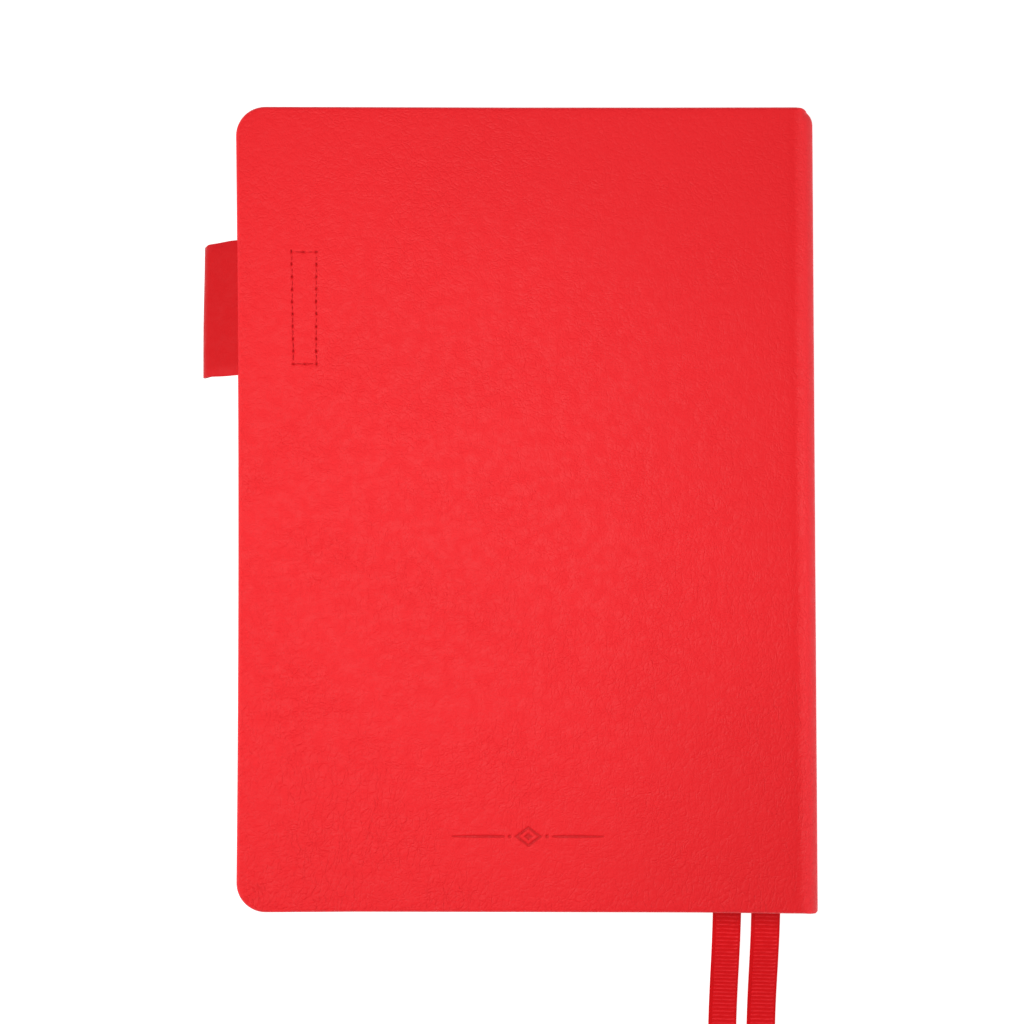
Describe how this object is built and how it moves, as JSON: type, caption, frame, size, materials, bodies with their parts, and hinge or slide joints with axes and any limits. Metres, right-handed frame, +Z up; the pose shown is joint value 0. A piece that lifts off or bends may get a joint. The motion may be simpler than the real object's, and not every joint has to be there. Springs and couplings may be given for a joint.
{
  "type": "soft-cover planner",
  "caption": "Closed soft-cover planner with a sewn block, ribbon markers and a pen loop at the fore-edge.",
  "frame": {"origin": "centre of the closed planner's footprint, pen loop included and ribbon tails left out, on the surface it lies on", "axes": "+X to the spine, +Y to the head of the book, +Z up, out of the back cover; the planner lies on its front cover"},
  "size_m": [0.1615, 0.2917, 0.0238],
  "materials": {
    "cover_leatherette": "fine pebbled grain, satin",
    "loop_leatherette": "fine grain, satin",
    "stitch_thread": "waxed polyester thread",
    "ribbon": "woven grosgrain",
    "page_paper": "uncoated",
    "endpaper": "uncoated, heavier",
    "cover_board": "flexible grey board",
    "infill_card": "lining card",
    "liner_card": "kraft card",
    "gauze": "open cotton gauze, glued",
    "sewing_thread": "linen thread",
    "band_cloth": "woven cotton band, red and white"
  },
  "bodies": {
    "front_block": {"section_01": "page_paper", "section_02": "page_paper", "section_03": "page_paper", "section_04": "page_paper", "section_05": "page_paper", "section_06": "page_paper", "section_07": "page_paper", "section_08": "page_paper", "section_09": "page_paper", "section_10": "page_paper", "section_11": "page_paper", "front_flyleaf": "endpaper", "spine_skin_front": "cover_leatherette", "spine_liner_front": "liner_card", "mull_front": "gauze", "sewing_thread_front": "sewing_thread", "headband_front": "band_cloth", "tailband_front": "band_cloth", "ribbon_1_inner": "ribbon", "ribbon_2_inner": "ribbon"},
    "front_cover": {"front_cover_skin": "cover_leatherette", "front_cover_board": "cover_board", "front_cover_infill": "infill_card", "front_pastedown": "endpaper"},
    "back_block": {"section_12": "page_paper", "section_13": "page_paper", "section_14": "page_paper", "section_15": "page_paper", "section_16": "page_paper", "section_17": "page_paper", "section_18": "page_paper", "section_19": "page_paper", "section_20": "page_paper", "section_21": "page_paper", "section_22": "page_paper", "spine_skin_back": "cover_leatherette", "spine_liner_back": "liner_card", "mull_back": "gauze", "sewing_thread_back": "sewing_thread", "headband_back": "band_cloth", "tailband_back": "band_cloth"},
    "back_cover": {"back_cover_skin": "cover_leatherette", "back_cover_board": "cover_board", "back_cover_infill": "infill_card", "back_pastedown": "endpaper", "pen_loop_tab": "loop_leatherette", "pen_loop_thread": "stitch_thread"},
    "back_flyleaf": {"back_flyleaf": "endpaper"},
    "pen_loop": {"pen_loop": "loop_leatherette"},
    "ribbon_1": {"ribbon_1_tail": "ribbon"},
    "ribbon_2": {"ribbon_2_tail": "ribbon"},
    "centre_leaf_1": {"centre_leaf_1": "page_paper"},
    "centre_leaf_2": {"centre_leaf_2": "page_paper"},
    "centre_leaf_3": {"centre_leaf_3": "page_paper"},
    "centre_leaf_4": {"centre_leaf_4": "page_paper"}
  },
  "joints": [
    {"name": "front_cover_open", "type": "hinge", "parent": "front_block", "child": "front_cover", "pos_m": [0.07785, 0, 0.0029], "axis": [0, 1, 0], "range_deg": [-180, 0]},
    {"name": "middle_open", "type": "hinge", "parent": "front_block", "child": "back_block", "pos_m": [0.08085, 0, 0.0119], "axis": [0, 1, 0], "range_deg": [0, 175]},
    {"name": "back_cover_open", "type": "hinge", "parent": "back_block", "child": "back_cover", "pos_m": [0.07785, 0, 0.0209], "axis": [0, -1, 0], "range_deg": [-180, 0]},
    {"name": "back_flyleaf_turn", "type": "hinge", "parent": "back_block", "child": "back_flyleaf", "pos_m": [0.07785, 0, 0.0209], "axis": [0, -1, 0], "range_deg": [-28, 0]},
    {"name": "pen_loop_flex", "type": "hinge", "parent": "back_cover", "child": "pen_loop", "pos_m": [-0.07215, 0.0529, 0.0226], "axis": [0, 1, 0], "range_deg": [-5, 30], "stiffness_Nm_per_rad": 0.002},
    {"name": "centre_leaf_1_turn", "type": "hinge", "parent": "front_block", "child": "centre_leaf_1", "pos_m": [0.08085, 0, 0.0119], "axis": [0, 1, 0], "range_deg": [0, 36]},
    {"name": "centre_leaf_2_turn", "type": "hinge", "parent": "front_block", "child": "centre_leaf_2", "pos_m": [0.08085, 0, 0.0119], "axis": [0, 1, 0], "range_deg": [0, 72]},
    {"name": "centre_leaf_3_turn", "type": "hinge", "parent": "front_block", "child": "centre_leaf_3", "pos_m": [0.08085, 0, 0.0119], "axis": [0, 1, 0], "range_deg": [0, 108]},
    {"name": "centre_leaf_4_turn", "type": "hinge", "parent": "front_block", "child": "centre_leaf_4", "pos_m": [0.08085, 0, 0.0119], "axis": [0, 1, 0], "range_deg": [0, 144]},
    {"name": "ribbon_1_lift", "type": "hinge", "parent": "front_block", "child": "ribbon_1", "pos_m": [0.0583, -0.10265, 0.01155], "axis": [-1, 0, 0], "range_deg": [0, 55]},
    {"name": "ribbon_2_lift", "type": "hinge", "parent": "front_block", "child": "ribbon_2", "pos_m": [0.0685, -0.10265, 0.01155], "axis": [-1, 0, 0], "range_deg": [0, 55]}
  ],
  "couplings": [
    {"joint": "back_flyleaf_turn", "follows": "back_cover_open", "ratio": 0.15},
    {"joint": "centre_leaf_1_turn", "follows": "middle_open", "ratio": 0.2},
    {"joint": "centre_leaf_2_turn", "follows": "middle_open", "ratio": 0.4},
    {"joint": "centre_leaf_3_turn", "follows": "middle_open", "ratio": 0.6},
    {"joint": "centre_leaf_4_turn", "follows": "middle_open", "ratio": 0.8}
  ]
}
